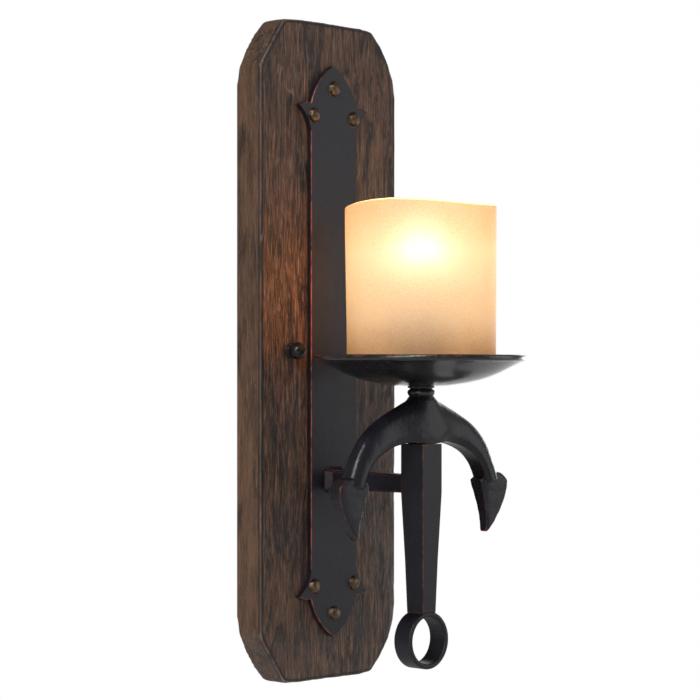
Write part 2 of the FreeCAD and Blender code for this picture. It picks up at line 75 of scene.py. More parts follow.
def wobble(x, y, z, seed=0.0):
    """Smooth random number from -1 to 1 at a place."""
    return noise.noise(Vector((x + seed * 7.31, y - seed * 3.17, z + seed * 1.73)))


# ---------------------------------------------------------------- helpers for node materials

def principled(tree):
    return next(node for node in tree.nodes if node.type == "BSDF_PRINCIPLED")


def new_material(name):
    material = bpy.data.materials.new(name)
    material.use_nodes = True
    return material, material.node_tree, principled(material.node_tree)


def add(tree, kind, **settings):
    """New node of this kind. A setting names an attribute or, with a one-item list as value, an input."""
    node = tree.nodes.new(kind)
    for name, value in settings.items():
        if isinstance(value, list):
            node.inputs[name.replace("_", " ")].default_value = value[0]
        else:
            setattr(node, name, value)
    return node


def place_in(tree, scale):
    """Object coordinates in metres, stretched by scale along each axis."""
    where = add(tree, "ShaderNodeTexCoord")
    mapping = add(tree, "ShaderNodeMapping")
    mapping.inputs["Scale"].default_value = scale
    tree.links.new(where.outputs["Object"], mapping.inputs["Vector"])
    return mapping.outputs["Vector"]


def noise_at(tree, vector, scale, detail=4.0, rough=0.55, distort=0.0):
    node = add(tree, "ShaderNodeTexNoise", Scale=[scale], Detail=[detail], Roughness=[rough],
               Distortion=[distort])
    tree.links.new(vector, node.inputs["Vector"])
    return node.outputs["Fac"]


def ramp(tree, factor, stops):
    """Colour ramp. A stop is (position, grey value) or (position, (red, green, blue))."""
    node = add(tree, "ShaderNodeValToRGB")
    marks = node.color_ramp.elements
    while len(marks) < len(stops):
        marks.new(0.5)
    for mark, (position, colour) in zip(marks, stops):
        mark.position = position
        colour = colour if isinstance(colour, tuple) else (colour,) * 3
        mark.color = (*colour, 1)
    tree.links.new(factor, node.inputs["Fac"])
    return node.outputs["Color"]


def blend(tree, factor, first, second, mode="MIX"):
    """Mix two colours. Each of factor, first and second is a socket or a constant."""
    node = add(tree, "ShaderNodeMix", data_type="RGBA", blend_type=mode)
    sockets = (node.inputs[0], node.inputs[6], node.inputs[7])
    for socket, value in zip(sockets, (factor, first, second)):
        if isinstance(value, bpy.types.NodeSocket):
            tree.links.new(value, socket)
        elif isinstance(value, tuple):
            socket.default_value = (*value, 1)
        else:
            socket.default_value = value
    return node.outputs[2]


def calc(tree, operation, first, second=0.0, clamp=False):
    node = add(tree, "ShaderNodeMath", operation=operation, use_clamp=clamp)
    for socket, value in zip(node.inputs, (first, second)):
        if isinstance(value, bpy.types.NodeSocket):
            tree.links.new(value, socket)
        else:
            socket.default_value = value
    return node.outputs[0]


def part_of(tree, source, axis):
    """One axis of the place in metres (source "Object") or of the surface's direction (source "Normal")."""
    kind = "ShaderNodeTexCoord" if source == "Object" else "ShaderNodeNewGeometry"
    split = add(tree, "ShaderNodeSeparateXYZ")
    tree.links.new(add(tree, kind).outputs[source], split.inputs["Vector"])
    return split.outputs[axis]


def bump(tree, height, distance, strength=1.0, under=None):
    node = add(tree, "ShaderNodeBump", Strength=[strength], Distance=[distance])
    tree.links.new(height, node.inputs["Height"])
    if under is not None:
        tree.links.new(under, node.inputs["Normal"])
    return node.outputs["Normal"]


def edge_amount(tree, radius):
    """Rises towards outer edges: how far a rounded copy of the normal leaves the true one."""
    rounded = add(tree, "ShaderNodeBevel", samples=6, Radius=[radius])
    true_normal = add(tree, "ShaderNodeNewGeometry")
    dot = add(tree, "ShaderNodeVectorMath", operation="DOT_PRODUCT")
    tree.links.new(rounded.outputs["Normal"], dot.inputs[0])
    tree.links.new(true_normal.outputs["Normal"], dot.inputs[1])
    return calc(tree, "SUBTRACT", 1.0, dot.outputs["Value"])


def ramp_between(tree, value, low, high):
    """0 at low, 1 at high, straight between."""
    node = add(tree, "ShaderNodeMapRange")
    node.inputs["From Min"].default_value = low
    node.inputs["From Max"].default_value = high
    tree.links.new(value, node.inputs["Value"])
    return node.outputs["Result"]


# ---------------------------------------------------------------- materials

def wood_material():
    """Dark stained, varnished board: grain along Z, darker streaks, worn fibres, scratches and edges, with a
    darker band just inside the front edges. Painted light makes the side faces lighter, and the light front
    edges are partly a painted highlight.
    """
    material, tree, shader = new_material("weathered_wood")
    link = tree.links.new
    long_grain = place_in(tree, (1.0, 1.0, 0.065))
    wave_grain = place_in(tree, (1.0, 1.0, 0.17))
    even = place_in(tree, (1.0, 1.0, 1.0))
    fibres = noise_at(tree, long_grain, 780, 8, 0.76, 0.7)
    fine = noise_at(tree, long_grain, 1500, 4, 0.7)
    figure = noise_at(tree, wave_grain, 75, 8, 0.68, 2.1)
    patches = noise_at(tree, wave_grain, 26, 4, 0.6, 0.7)
    toned = ramp(tree, fibres, [(0.36, (0.012, 0.006, 0.004)), (0.46, (0.070, 0.030, 0.015)),
                                (0.55, (0.190, 0.092, 0.052)), (0.66, (0.400, 0.235, 0.150))])
    warm = ramp(tree, patches, [(0.44, 0.0), (0.64, 0.5)])
    toned = blend(tree, warm, toned, (0.205, 0.100, 0.050))
    streak = ramp(tree, figure, [(0.49, 0.0), (0.58, 0.92)])
    toned = blend(tree, streak, toned, (0.013, 0.008, 0.007))
    thin = ramp(tree, fine, [(0.54, 0.0), (0.66, 0.45)])
    toned = blend(tree, thin, toned, (0.40, 0.27, 0.19))
    # Painted light: faces turned along X are painted lighter, as if lit from the side, broken up by noise.
    painted_side_light = ramp(tree, calc(tree, "ABSOLUTE", part_of(tree, "Normal", "X")), [(0.60, 0.0), (0.95, 0.55)])
    lighter = ramp(tree, noise_at(tree, wave_grain, 120, 5, 0.65, 0.8), [(0.40, 0.2), (0.58, 1.0)])
    toned = blend(tree, calc(tree, "MULTIPLY", painted_side_light, lighter), toned, (0.34, 0.180, 0.100))
    wear = add(tree, "ShaderNodeAttribute", attribute_name="wear").outputs["Fac"]
    # Darker band just inside the front edges, where the wear attribute is low, limited to the front of the
    # board.
    dark_band_inside_edges = ramp(tree, wear, [(0.10, 0.0), (0.22, 0.85), (0.44, 0.85), (0.54, 0.0)])
    depth = part_of(tree, "Object", "Y")
    front = ramp_between(tree, depth, (board_low.y + 4.0) * MM, (board_low.y + 1.5) * MM)
    toned = blend(tree, calc(tree, "MULTIPLY", dark_band_inside_edges, front), toned, (0.008, 0.006, 0.006))
    # Light grey on the most rubbed front edges: partly worn chips, partly a painted highlight where the
    # rounded edge catches the light.
    chips = ramp(tree, noise_at(tree, wave_grain, 150, 5, 0.75), [(0.44, 0.0), (0.54, 1.0)])
    worn = calc(tree, "MULTIPLY", ramp(tree, wear, [(0.48, 0.0), (0.66, 0.8)]), chips)
    toned = blend(tree, worn, toned, (0.30, 0.27, 0.27))
    scratch_place = place_in(tree, (1.0, 1.0, 0.20))
    scratch = noise_at(tree, scratch_place, 46, 1, 0.5, 0.7)
    line = calc(tree, "ABSOLUTE", calc(tree, "SUBTRACT", scratch, 0.5))
    line = ramp(tree, line, [(0.0, 1.0), (0.009, 0.0)])
    gate = ramp(tree, noise_at(tree, even, 17, 2, 0.5), [(0.53, 0.0), (0.58, 1.0)])
    line = calc(tree, "MULTIPLY", line, gate)
    toned = blend(tree, calc(tree, "MULTIPLY", line, 0.42), toned, (0.42, 0.33, 0.27))
    link(toned, shader.inputs["Base Color"])
    link(ramp(tree, fibres, [(0.3, 0.62), (0.7, 0.42)]), shader.inputs["Roughness"])
    relief = bump(tree, fibres, 0.0026, 1.0)
    relief = bump(tree, figure, 0.0020, 0.6, relief)
    relief = bump(tree, calc(tree, "SUBTRACT", 1.0, line), 0.0007, 0.8, relief)
    link(relief, shader.inputs["Normal"])
    shader.inputs["Specular IOR Level"].default_value = 0.3
    shader.inputs["Coat Weight"].default_value = 0.55
    shader.inputs["Coat Roughness"].default_value = 0.24
    link(bump(tree, fibres, 0.0009, 0.8), shader.inputs["Coat Normal"])
    return material


def rubbed_places(tree, edge):
    """Where paint is rubbed off, 0 to 1. edge is "wear" for a mesh with that attribute, "bevel" for one
    whose front edges are cut at 45 degrees, and "shape" where edges are found from the shape."""
    if edge == "wear":
        found = add(tree, "ShaderNodeAttribute", attribute_name="wear")
        return ramp(tree, found.outputs["Fac"], [(0.40, 0.0), (0.90, 1.0)])
    if edge == "bevel":
        turned = calc(tree, "ABSOLUTE", part_of(tree, "Normal", "Y"))
        return ramp(tree, turned, [(0.30, 0.0), (0.45, 1.0), (0.88, 1.0), (0.96, 0.0)])
    return ramp(tree, edge_amount(tree, 0.0013), [(0.02, 0.0), (0.09, 1.0)])


def iron_material(name, edge=None, rub=0.6, tint=(0.0085, 0.0078, 0.0120), roughness=(0.30, 0.44)):
    """Bronze-black painted iron: satin, faintly mottled and pitted, its edges rubbed to red copper by the
    share rub. edge says how rubbed_places finds them, and None leaves the paint whole."""
    material, tree, shader = new_material(name)
    link = tree.links.new
    even = place_in(tree, (1.0, 1.0, 1.0))
    cloud = noise_at(tree, even, 38, 5, 0.6, 0.3)
    grain = noise_at(tree, even, 1100, 3, 0.6)
    lumps = noise_at(tree, even, 170, 3, 0.5)
    lighter = tuple(1.9 * value for value in tint)
    body = blend(tree, ramp(tree, cloud, [(0.36, 0.0), (0.66, 1.0)]), tint, lighter)
    specks = ramp(tree, grain, [(0.60, 0.0), (0.72, 0.5)])
    body = blend(tree, specks, body, (0.050, 0.048, 0.050))
    if edge:
        patchy = ramp(tree, noise_at(tree, even, 60, 4, 0.65), [(0.38, 0.15), (0.54, 1.0)])
        worn = calc(tree, "MULTIPLY", rubbed_places(tree, edge), patchy)
        shades = [(0.35, (0.22, 0.034, 0.022)), (0.65, (0.52, 0.120, 0.065))]
        copper = ramp(tree, noise_at(tree, even, 240, 3, 0.5), shades)
        body = blend(tree, calc(tree, "MULTIPLY", worn, rub), body, copper)
    link(body, shader.inputs["Base Color"])
    link(ramp(tree, cloud, [(0.30, roughness[0]), (0.70, roughness[1])]), shader.inputs["Roughness"])
    shader.inputs["Metallic"].default_value = 0.08
    shader.inputs["Specular IOR Level"].default_value = 0.42
    rounded = None
    if edge == "shape":
        rounded = add(tree, "ShaderNodeBevel", samples=6, Radius=[0.0007]).outputs["Normal"]
    relief = bump(tree, grain, 0.00014, 0.6, rounded)
    relief = bump(tree, lumps, 0.0005, 0.35, relief)
    link(relief, shader.inputs["Normal"])
    return material


def dish_material():
    """The same iron, glossier, with red copper showing through in patches along the rim."""
    material = iron_material("dish_iron", tint=(0.0085, 0.0080, 0.0090), roughness=(0.19, 0.30))
    tree = material.node_tree
    shader = principled(tree)
    body = shader.inputs["Base Color"].links[0].from_socket
    rim_top = ramp_between(tree, part_of(tree, "Object", "Z"), -5.6 * MM, -4.4 * MM)
    across = part_of(tree, "Object", "X")
    along = calc(tree, "SUBTRACT", part_of(tree, "Object", "Y"), AXIS_Y * MM)
    squares = calc(tree, "ADD", calc(tree, "MULTIPLY", across, across), calc(tree, "MULTIPLY", along, along))
    radius = calc(tree, "SQRT", squares)
    rim = calc(tree, "MULTIPLY", rim_top, ramp_between(tree, radius, 66.5 * MM, 68 * MM))
    mottle = noise_at(tree, place_in(tree, (1.0, 1.0, 3.0)), 95, 4, 0.65)
    patches = ramp(tree, mottle, [(0.50, 0.0), (0.68, 0.55)])
    rubbed = blend(tree, calc(tree, "MULTIPLY", rim, patches), body, (0.34, 0.085, 0.070))
    tree.links.new(rubbed, shader.inputs["Base Color"])
    shader.inputs["Coat Weight"].default_value = 0.7
    shader.inputs["Coat Roughness"].default_value = 0.14
    return material


def metal_material(name, colour, dark, roughness, metallic=1.0, scale=260, patch=0.6):
    """Metal or plastic with uneven tarnish and small marks."""
    material, tree, shader = new_material(name)
    even = place_in(tree, (1.0, 1.0, 1.0))
    tarnish = noise_at(tree, even, scale, 5, 0.6, 0.4)
    share = calc(tree, "MULTIPLY", ramp(tree, tarnish, [(0.38, 0.0), (0.62, 1.0)]), patch)
    tree.links.new(blend(tree, share, colour, dark), shader.inputs["Base Color"])
    spread = ramp(tree, tarnish, [(0.3, roughness), (0.7, min(roughness + 0.18, 1.0))])
    tree.links.new(spread, shader.inputs["Roughness"])
    shader.inputs["Metallic"].default_value = metallic
    marks = noise_at(tree, even, scale * 5, 3, 0.6)
    tree.links.new(bump(tree, marks, 0.0001, 0.4), shader.inputs["Normal"])
    return material


def nail_material():
    """Antique brass, rubbed bright on the part that faces the room, with painted shade darkening the turn of
    the dome.
    """
    bright, tarnish = (0.20, 0.135, 0.085), (0.060, 0.040, 0.028)
    material = metal_material("antique_brass", bright, tarnish, 0.30, 0.85, 300, 0.7)
    tree = material.node_tree
    base = principled(tree).inputs["Base Color"]
    tarnished = base.links[0].from_socket
    # Painted shade: the dome's sides, turned away from the room, are painted near-black.
    turned = ramp(tree, calc(tree, "ABSOLUTE", part_of(tree, "Normal", "Y")), [(0.45, 0.92), (0.80, 0.0)])
    tree.links.new(blend(tree, turned, tarnished, (0.012, 0.009, 0.008)), base)
    return material


def shade_material():
    """Amber scavo glass, painted as lit from inside: its own glow and its base colour are pale at the bulb's
    height and brown at the foot, and a painted highlight brightens its cut rim.
    """
    material, tree, shader = new_material("amber_glass")
    link = tree.links.new
    even = place_in(tree, (1.0, 1.0, 1.0))
    speckle = noise_at(tree, even, 1300, 3, 0.6)
    cloud = noise_at(tree, even, 40, 4, 0.6, 0.5)
    height = ramp_between(tree, part_of(tree, "Object", "Z"), shade_low.z * MM, shade_high.z * MM)
    uneven = calc(tree, "ADD", height, calc(tree, "MULTIPLY", calc(tree, "SUBTRACT", cloud, 0.5), 0.14))
    # Painted light: the base colour is paler around the bulb's height and browner towards the foot.
    colour = ramp(tree, uneven, [(0.06, (0.62, 0.44, 0.27)), (0.30, (0.88, 0.76, 0.60)),
                                 (0.68, (0.98, 0.89, 0.77)), (0.97, (0.95, 0.78, 0.56))])
    # Painted light: the glass's own glow stands in for the bulb's light shining through it.
    light = ramp(tree, uneven, [(0.04, (0.50, 0.24, 0.075)), (0.30, (0.86, 0.50, 0.21)),
                                (0.68, (1.0, 0.58, 0.20)), (0.97, (1.0, 0.46, 0.14))])
    dots = ramp(tree, speckle, [(0.40, 0.80), (0.62, 1.0)])
    glow = ramp(tree, uneven, [(0.03, 0.12), (0.18, 0.25), (0.45, 0.30), (0.70, 0.34), (0.95, 0.29)])
    # Painted highlight: the upward-facing cut rim glows brighter.
    cut = ramp(tree, part_of(tree, "Normal", "Z"), [(0.06, 0.0), (0.30, 0.9)])
    shader.inputs["Roughness"].default_value = 0.62
    shader.inputs["IOR"].default_value = 1.40
    link(blend(tree, 1.0, colour, dots, "MULTIPLY"), shader.inputs["Base Color"])
    link(blend(tree, cut, light, (1.0, 0.80, 0.42)), shader.inputs["Emission Color"])
    link(calc(tree, "ADD", calc(tree, "MULTIPLY", glow, dots), cut), shader.inputs["Emission Strength"])
    shader.inputs["Transmission Weight"].default_value = 0.60
    relief = bump(tree, speckle, 0.00015, 0.5)
    relief = bump(tree, cloud, 0.0012, 0.35, relief)
    link(relief, shader.inputs["Normal"])
    return material


def bulb_material():
    """Frosted lamp glass, brightest round the filament."""
    material, tree, shader = new_material("lit_bulb_glass")
    link = tree.links.new
    height = ramp_between(tree, part_of(tree, "Object", "Z"), bulb_low.z * MM, bulb_high.z * MM)
    level = ramp(tree, height, [(0.30, 0.02), (0.50, 0.16), (0.66, 1.0), (0.76, 0.75), (0.95, 0.08)])
    cloud = noise_at(tree, place_in(tree, (1.0, 1.0, 1.0)), 120, 3, 0.5)
    cloud = ramp(tree, cloud, [(0.3, 0.85), (0.7, 1.0)])
    link(blend(tree, 1.0, (1.0, 0.85, 0.66), cloud, "MULTIPLY"), shader.inputs["Emission Color"])
    link(calc(tree, "MULTIPLY", level, 7.0), shader.inputs["Emission Strength"])
    shader.inputs["Base Color"].default_value = (0.85, 0.80, 0.72, 1)
    shader.inputs["Roughness"].default_value = 0.35
    return material


def glowing_material(name, colour, strength):
    material, tree, shader = new_material(name)
    level = noise_at(tree, place_in(tree, (1.0, 1.0, 1.0)), 120, 3, 0.5)
    level = ramp(tree, level, [(0.3, 0.6), (0.7, 1.0)])
    shader.inputs["Base Color"].default_value = (*colour, 1)
    shader.inputs["Emission Strength"].default_value = strength
    tree.links.new(blend(tree, 1.0, colour, level, "MULTIPLY"), shader.inputs["Emission Color"])
    shader.inputs["Roughness"].default_value = 0.4
    return material


wood = wood_material()
iron = iron_material("dark_iron", "shape", rub=0.48)
strap_iron = iron_material("strap_iron", "bevel", rub=0.75)
cast_iron = iron_material("cast_iron", "wear", rub=0.5, roughness=(0.22, 0.34))
dish_iron = dish_material()
antique_brass = nail_material()
black_steel = metal_material("black_steel", (0.008, 0.008, 0.009), (0.014, 0.013, 0.013), 0.16, 0.2, 300)
zinc_steel = metal_material("zinc_steel", (0.60, 0.61, 0.62), (0.42, 0.42, 0.40), 0.34)
green_steel = metal_material("green_steel", (0.03, 0.24, 0.09), (0.02, 0.14, 0.05), 0.32)
bare_brass = metal_material("bare_brass", (0.68, 0.50, 0.22), (0.42, 0.29, 0.12), 0.28)
black_plastic = metal_material("black_plastic", (0.018, 0.018, 0.018), (0.030, 0.029, 0.028), 0.5, 0.0, 500)
porcelain = metal_material("white_porcelain", (0.80, 0.79, 0.75), (0.70, 0.68, 0.62), 0.3, 0.0, 90)
insulator = metal_material("black_insulator", (0.010, 0.010, 0.012), (0.02, 0.02, 0.02), 0.12, 0.0, 200)
amber = shade_material()
lit_glass = bulb_material()
filament_glow = glowing_material("lit_filament", (1.0, 0.70, 0.34), 40)


# ---------------------------------------------------------------- helpers for meshes

def finished(work, name):
    """The bmesh as a mesh of that name."""
    mesh = bpy.data.meshes.new(name)
    work.to_mesh(mesh)
    work.free()
    return mesh


def to_object(name, mesh, material, slot, replaces, body="fixture"):
    """A piece with this mesh, riding on body, in place of the CAD nodes that it replaces."""
    piece = bpy.data.objects.new(name, mesh)
    bpy.context.scene.collection.objects.link(piece)
    mesh.materials.clear()
    mesh.materials.append(material)
    for face in mesh.polygons:
        face.use_smooth = True
    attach(piece, body)
    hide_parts(*replaces)


def curve_points(marks, per_span=6):
    """Catmull-Rom points through the marks, which are pairs of numbers."""
    marks = [Vector(mark) for mark in marks]
    dense = []
    for index in range(len(marks) - 1):
        start, end = marks[index], marks[index + 1]
        before = marks[index - 1] if index > 0 else start
        after = marks[index + 2] if index + 2 < len(marks) else end
        for step in range(per_span):
            share = step / per_span
            square, cube = share * share, share ** 3
            dense.append(0.5 * (2 * start + (end - before) * share
                                + (2 * before - 5 * start + 4 * end - after) * square
                                + (3 * start - before - 3 * end + after) * cube))
    dense.append(marks[-1])
    return dense


def lathe(name, marks, centre, material, turn="Z", segments=144, per_span=6, shape=None, **piece):
    """Turn a closed outline of (radius, height) marks about an axis through centre. The axis points up or,
    for turn "Y", into the room. shape(angle, radius, height) may bend each point. piece is for to_object."""
    profile = curve_points(marks + [marks[0]], per_span)[:-1]
    work = bmesh.new()
    rings = []
    for segment in range(segments):
        angle = 2 * math.pi * segment / segments
        ring = []
        for point in profile:
            radius, height = point
            if shape:
                radius, height = shape(angle, radius, height)
            across, along = radius * math.cos(angle), radius * math.sin(angle)
            local = (across, along, height) if turn == "Z" else (across, -height, along)
            ring.append(work.verts.new((Vector(local) + Vector(centre)) * MM))
        rings.append(ring)
    count = len(profile)
    for segment in range(segments):
        here, there = rings[segment], rings[(segment + 1) % segments]
        for index in range(count):
            after = (index + 1) % count
            work.faces.new((here[index], there[index], there[after], here[after]))
    bmesh.ops.remove_doubles(work, verts=work.verts, dist=1e-7)
    bmesh.ops.dissolve_degenerate(work, edges=work.edges, dist=1e-8)
    bmesh.ops.recalc_face_normals(work, faces=work.faces)
    to_object(name, finished(work, name), material, **piece)


def remeshed(source, name, voxel):
    """A copy of the source's mesh as an even skin of small faces."""
    copy = bpy.data.objects.new(name + "_work", source.data.copy())
    bpy.context.scene.collection.objects.link(copy)
    weld = copy.modifiers.new("weld", "WELD")
    weld.merge_threshold = 1e-6
    skin = copy.modifiers.new("skin", "REMESH")
    skin.mode = "VOXEL"
    skin.voxel_size = voxel * MM
    graph = bpy.context.evaluated_depsgraph_get()
    mesh = bpy.data.meshes.new_from_object(copy.evaluated_get(graph), depsgraph=graph)
    bpy.data.objects.remove(copy)
    mesh.name = name
    return mesh


def read_rows(items, name, width, kind=float):
    """One row of width numbers for each vertex or edge."""
    flat = np.empty(len(items) * width, dtype=kind)
    items.foreach_get(name, flat)
    return flat.reshape(-1, width)


def read_points(mesh):
    return read_rows(mesh.vertices, "co", 3)


def read_edges(mesh):
    return read_rows(mesh.edges, "vertices", 2, int)


def relax(values, edges, rounds, share=0.5):
    """Move each value towards the mean of its neighbours. share is one number or one per vertex."""
    values = values.copy()
    count = np.bincount(edges.ravel(), minlength=len(values))[:, None]
    for _ in range(rounds):
        total = np.zeros_like(values)
        np.add.at(total, edges[:, 0], values[edges[:, 1]])
        np.add.at(total, edges[:, 1], values[edges[:, 0]])
        values += (total / count - values) * share
    return values


def smooth_mesh(mesh, rounds, share=0.5):
    points = relax(read_points(mesh), read_edges(mesh), rounds, share)
    mesh.vertices.foreach_set("co", points.ravel())
    mesh.update()


def mark_wear(mesh, rounds, full):
    """Store as attribute wear how far a vertex stands out of its surroundings, 1 being full millimetres."""
    points, edges = read_points(mesh), read_edges(mesh)
    normals = read_rows(mesh.vertices, "normal", 3)
    outward = ((points - relax(points, edges, rounds)) * normals).sum(axis=1)
    wear = np.clip(outward / (full * MM), 0, 1)
    wear = relax(wear[:, None], edges, 2)[:, 0]
    mesh.attributes.new("wear", "FLOAT", "POINT").data.foreach_set("value", wear)


def sculpt(mesh, move):
    """Move each vertex along its normal by move(place in mm, normal), in millimetres."""
    steps = [move(vertex.co / MM, vertex.normal) for vertex in mesh.vertices]
    normals = [vertex.normal.copy() for vertex in mesh.vertices]
    for vertex, step, normal in zip(mesh.vertices, steps, normals):
        vertex.co += normal * step * MM
    mesh.update()


# ---------------------------------------------------------------- board

WALL_MARGIN = 1.5  # this much of the board's depth next to the wall stays flat
NICKED_EDGE = 2.2  # how far in from an edge it is nicked
CORNER_IN_X, CORNER_IN_Z = 22.5, 33  # the clipped corners' size along each side
BOARD_STRETCH = Matrix.Diagonal((1.004, 1, 1.011, 1))  # the photo's board is this much larger than the CAD's


def board_relief(place, normal):
    """Rustic surface: long shallow grooves, dents and uneven edges on every face but the one on the wall."""
    if place.y > -WALL_MARGIN:
        return 0.0
    grooves = 0.20 * wobble(place.x * 0.20, place.y * 0.20, place.z * 0.012, 1)
    broad = 0.28 * wobble(place.x * 0.045, place.y * 0.05, place.z * 0.016, 2)
    ripple = 0.10 * wobble(place.x * 0.55, place.y * 0.5, place.z * 0.05, 3)
    from_edge = min(abs(abs(place.x) - board_high.x), abs(place.y - board_low.y))
    nicks = 0.0
    if from_edge < NICKED_EDGE and abs(normal.y) < 0.98:
        nicks = -0.55 * max(0.0, wobble(place.x * 0.12, place.y * 0.2, place.z * 0.11, 4) - 0.15)
    return grooves + broad + ripple + nicks - 0.10


def round_board_corners(mesh, reach=9, rounds=28):
    """Sand down the board's eight outline corners."""
    points = read_points(mesh) / MM
    clip_x, clip_z = board_high.x - CORNER_IN_X, board_high.z - CORNER_IN_Z
    corners = [(side * x, end * z) for x, z in ((board_high.x, clip_z), (clip_x, board_high.z))
               for side in (1, -1) for end in (1, -1)]
    near = np.min([np.hypot(points[:, 0] - x, points[:, 2] - z) for x, z in corners], axis=0)
    smooth_mesh(mesh, rounds, 0.5 * np.clip(1.4 - near / reach, 0, 1)[:, None])


def build_board():
    mesh = remeshed(nodes["backboard"], "board", voxel=1.2)
    smooth_mesh(mesh, rounds=1)
    mark_wear(mesh, rounds=7, full=0.56)
    round_board_corners(mesh)
    mesh.transform(BOARD_STRETCH)
    sculpt(mesh, board_relief)
    to_object("board", mesh, wood, slot="weathered_wood", replaces=("backboard",))


build_board()


# ---------------------------------------------------------------- anchor crown

def arch_sections(work):
    """Arms as one bent D-section bar: flat below, full and round above, thicker towards the middle."""
    inner = [(60.3, -90.5), (56.5, -82), (52, -75.5), (46, -70.2), (38, -66.2), (28, -63.0), (18, -61.4),
             (8, -62.0), (0, -62.4)]
    outer = [(74.0, -87.5), (71.2, -80.5), (66.6, -70.6), (59.4, -59.6), (49.4, -50.2), (36.2, -42.6),
             (22.6, -36.6), (11.4, -32.4), (0, -31)]
    inner_line = curve_points(inner, 5)
    outer_line = curve_points(outer, 5)
    right = list(zip(inner_line, outer_line))
    left = [(Vector((-low.x, low.y)), Vector((-high.x, high.y))) for low, high in reversed(right[:-1])]
    rings = []
    for low, high in right + left:
        centre = 1 - smooth_step(4, 30, abs(low.x))
        full = mix(7.8, 11.0, centre)
        flat = mix(5.9, 10.0, centre)
        top = mix(0.0, 7.6, 1 - smooth_step(4, 14, abs(high.x)))
        ring = []
        for side in (1, -1):
            steps = range(15) if side == 1 else range(14, -1, -1)
            for step in steps:
                share = step / 14
                if share < 0.28:
                    width = mix(flat, full, math.sin(share / 0.28 * math.pi / 2))
                else:
                    curve = math.sqrt(max(0.0, 1 - ((share - 0.28) / 0.72) ** 2.3))
                    width = mix(top, full, curve)
                spot = low.lerp(high, share)
                ring.append(work.verts.new((spot.x, side * width, spot.y)))
        rings.append(ring)
    stitch(work, rings)


def stitch(work, rings):
    """Skin a row of rings with the same number of points, and close both ends."""
    for here, there in zip(rings, rings[1:]):
        for index in range(len(here)):
            after = (index + 1) % len(here)
            work.faces.new((here[index], here[after], there[after], there[index]))
    work.faces.new(rings[0])
    work.faces.new(list(reversed(rings[-1])))


def fluke_sections(work, side):
    """Arrow-shaped fluke: wide rounded shoulders at the top, narrowing in width and depth to its tip."""
    # Height, near and far edge in x, half depth.
    rows = [(-83.4, 65.5, 73.8, 4.6), (-84.2, 62, 75.9, 5.6), (-85.2, 59.6, 77.2, 6.0),
            (-86.6, 57, 79.0, 6.2), (-88.2, 54.7, 81.0, 6.2), (-89.4, 54.8, 82.0, 6.2),
            (-92, 55.6, 81.9, 6.1), (-97, 57.2, 81.3, 5.6), (-104, 59.6, 78.7, 5.1),
            (-111, 61.4, 74.9, 4.5), (-117.5, 62.3, 70.2, 3.9), (-122, 62.3, 65.8, 3.4),
            (-124, 62.4, 63.7, 2.6)]
    count = 10
    outward = [step / count for step in range(count + 1)]
    inward = [1 - share for share in outward]
    rings = []
    for height, near, far, depth in rows:
        ring = []
        for face, shares in ((-1, outward), (1, inward)):
            for share in shares:
                bulge = 1 - 0.16 * abs(2 * share - 1) ** 3
                ring.append(work.verts.new((side * mix(near, far, share), face * depth * bulge, height)))
        rings.append(ring)
    stitch(work, rings)


def neck_sections(work):
    """Round neck that sinks into the middle of the arms."""
    marks = [(8.5, -30.8), (8.6, -33), (9.2, -37), (9.8, -42), (9.8, -48), (9.5, -56), (9.2, -61),
             (9.0, -62.4)]
    rings = []
    for radius, height in curve_points(marks, 4):
        ring = []
        for step in range(40):
            angle = 2 * math.pi * step / 40
            ring.append(work.verts.new((radius * math.cos(angle), radius * math.sin(angle), height)))
        rings.append(ring)
    stitch(work, rings)


def soften_middle(mesh, rounds=170):
    """Melt neck and arms into one form, as cast, but keep the neck's top and the foot on the shank."""
    points = read_points(mesh) / MM
    from_middle = np.hypot(points[:, 0] / 30, (points[:, 2] + 44) / 18)
    below_top = np.clip((-32 - points[:, 2]) / 6, 0, 1)
    above_foot = np.clip((points[:, 2] + 62) / 5, 0, 1)
    share = 0.5 * np.clip(1.35 - from_middle, 0, 1) * below_top * above_foot
    smooth_mesh(mesh, rounds, share[:, None])


def cast_surface(place, normal):
    """Uneven skin of a casting."""
    broad = 0.22 * wobble(place.x * 0.09, place.y * 0.09, place.z * 0.09, 5)
    return broad + 0.07 * wobble(place.x * 0.33, place.y * 0.33, place.z * 0.33, 6)


def build_crown():
    work = bmesh.new()
    arch_sections(work)
    for side in (1, -1):
        fluke_sections(work, side)
    neck_sections(work)
    bmesh.ops.recalc_face_normals(work, faces=work.faces)
    bmesh.ops.transform(work, matrix=Matrix.Translation((0, AXIS_Y, 0)), verts=work.verts)
    bmesh.ops.scale(work, vec=(MM, MM, MM), verts=work.verts)
    source = bpy.data.objects.new("crown_source", finished(work, "crown_rough"))
    mesh = remeshed(source, "crown", voxel=0.55)
    bpy.data.objects.remove(source)
    smooth_mesh(mesh, rounds=1)
    mark_wear(mesh, rounds=10, full=0.30)
    soften_middle(mesh)
    sculpt(mesh, cast_surface)
    to_object("crown", mesh, cast_iron, slot="dark_iron", replaces=("anchor_crown",))


build_crown()


# ---------------------------------------------------------------- turned pieces on the stack's axis

def uneven(amount, seed):
    """Slightly irregular turning, as a casting has."""
    def shape(angle, radius, height):
        lump = wobble(2.4 * math.cos(angle), 2.4 * math.sin(angle), height * 0.08 + radius * 0.02, seed)
        return radius + amount * lump * min(radius / 8, 1), height + amount * 0.6 * lump
    return shape


